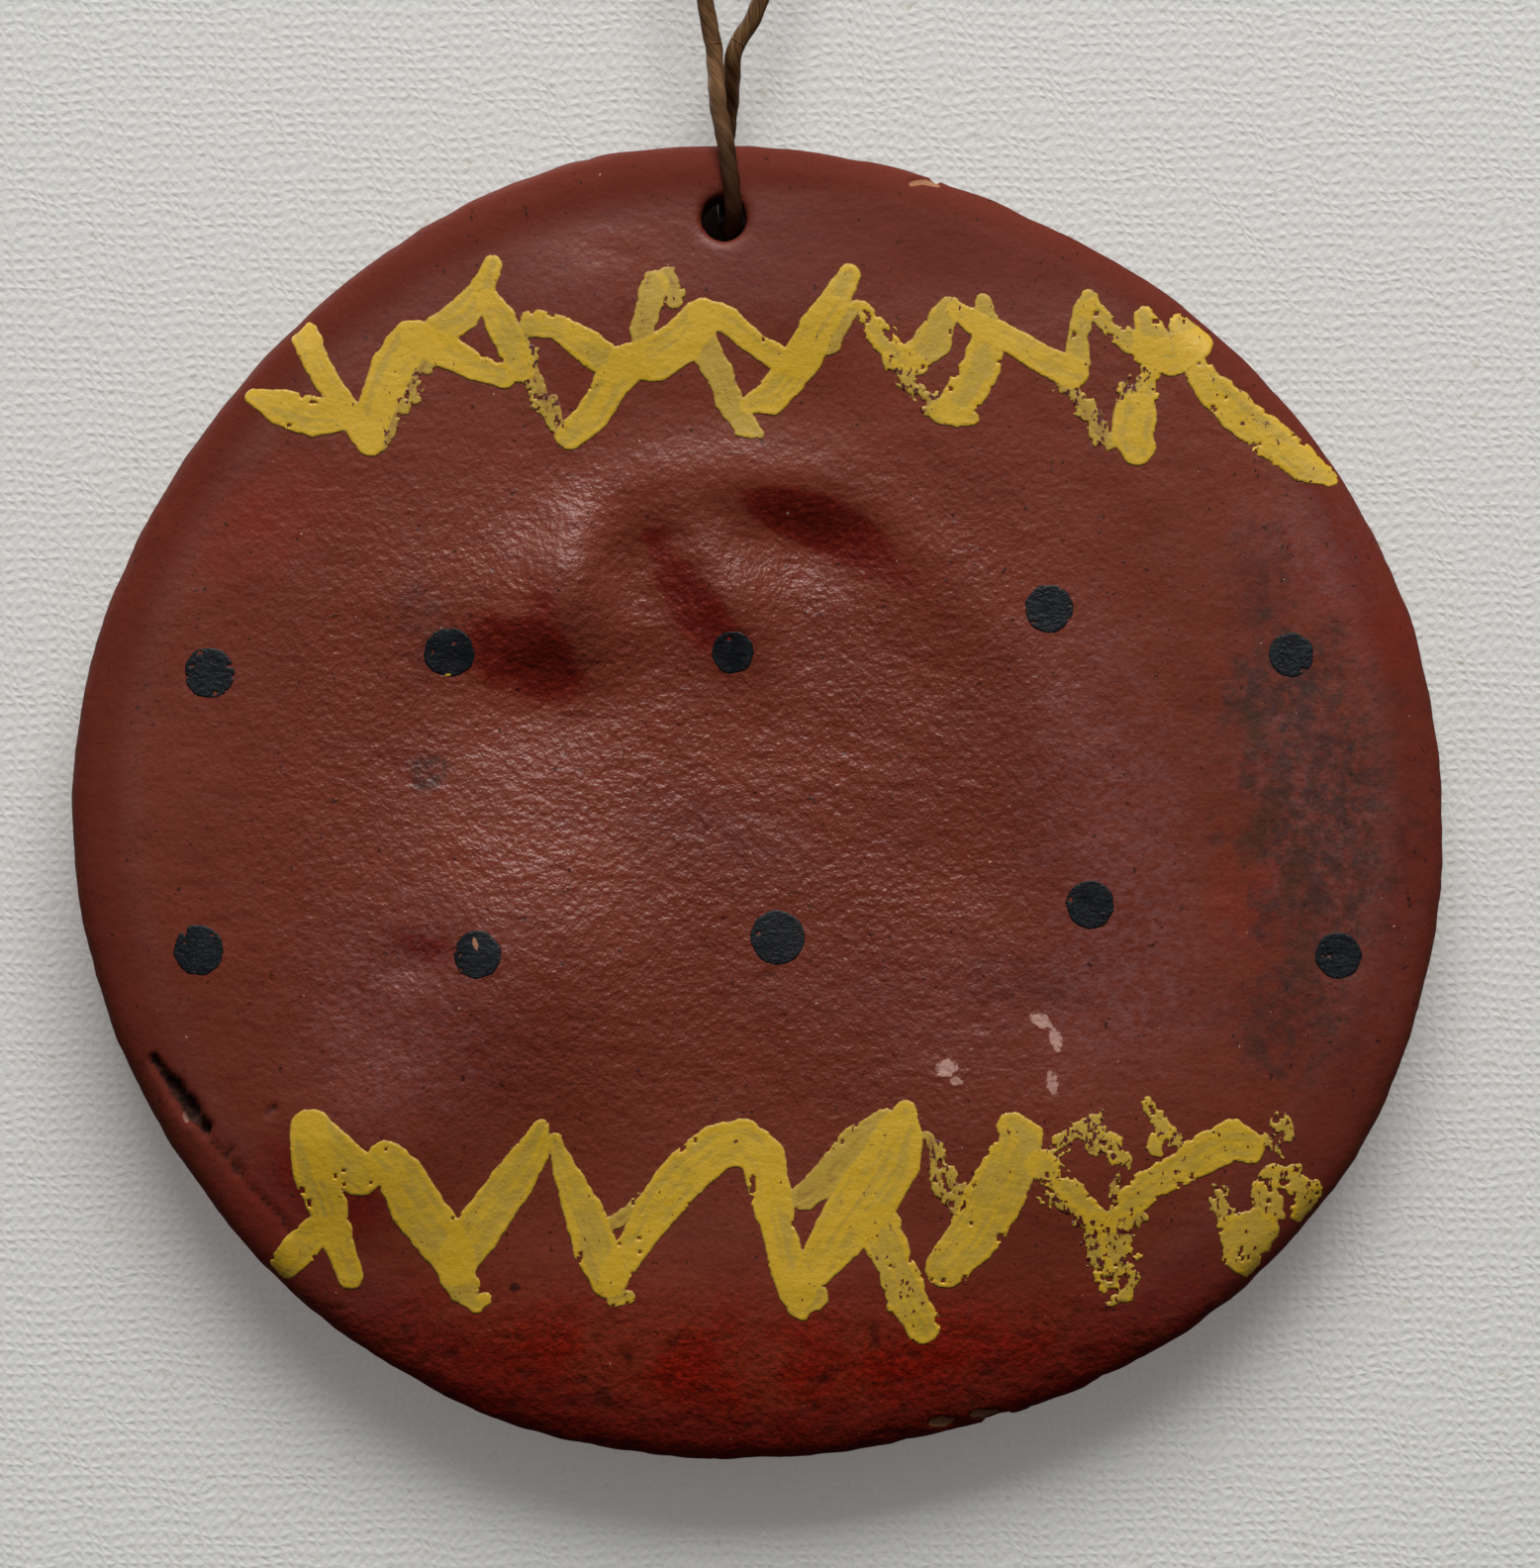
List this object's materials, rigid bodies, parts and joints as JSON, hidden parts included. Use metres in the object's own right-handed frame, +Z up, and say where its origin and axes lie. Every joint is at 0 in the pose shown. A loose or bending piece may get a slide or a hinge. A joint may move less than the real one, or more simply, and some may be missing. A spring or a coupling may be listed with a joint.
{
  "type": "painted clay disc ornament",
  "caption": "Hanging round clay ornament: a hand-pressed red disc with brushed yellow zigzags and dark dots, on a knotted loop of waxed cord.",
  "frame": {"origin": "centre of the flat back face of the clay disc", "axes": "+Z up towards the hanging loop, -Y out of the painted face, +X to the right seen from the painted side"},
  "size_m": [0.076, 0.0072, 0.1428],
  "materials": {
    "red_clay": "satin",
    "yellow_paint": "satin",
    "black_paint": "satin",
    "cord": "matte"
  },
  "bodies": {
    "hanger": {"cord_left_upper": "cord", "cord_right_upper": "cord", "cord_knot": "cord", "cord_tail_left": "cord", "cord_tail_right": "cord"},
    "lower_loop": {"cord_left_lower": "cord", "cord_right_lower": "cord"},
    "neck": {"cord_neck": "cord"},
    "bight": {"cord_bight": "cord"},
    "disc": {"clay_disc": "red_clay", "upper_zigzag": "yellow_paint", "lower_zigzag": "yellow_paint", "upper_dots": "black_paint", "lower_dots": "black_paint"}
  },
  "joints": [
    {"name": "loop_fold", "type": "hinge", "parent": "hanger", "child": "lower_loop", "pos_m": [-0.0019, -0.00364, 0.0681], "axis": [1, 0, 0], "range_deg": [-45, 45]},
    {"name": "disc_tilt", "type": "hinge", "parent": "lower_loop", "child": "neck", "pos_m": [-0.0019, -0.00364, 0.0437], "axis": [1, 0, 0], "range_deg": [-60, 60]},
    {"name": "cord_twist", "type": "hinge", "parent": "neck", "child": "bight", "pos_m": [-0.0019, -0.00364, 0.0415], "axis": [0, 0, 1], "range_deg": [-150, 150]},
    {"name": "disc_rock", "type": "hinge", "parent": "bight", "child": "disc", "pos_m": [-0.0019, -0.00364, 0.0326], "axis": [0, 1, 0], "range_deg": [-40, 40]}
  ]
}
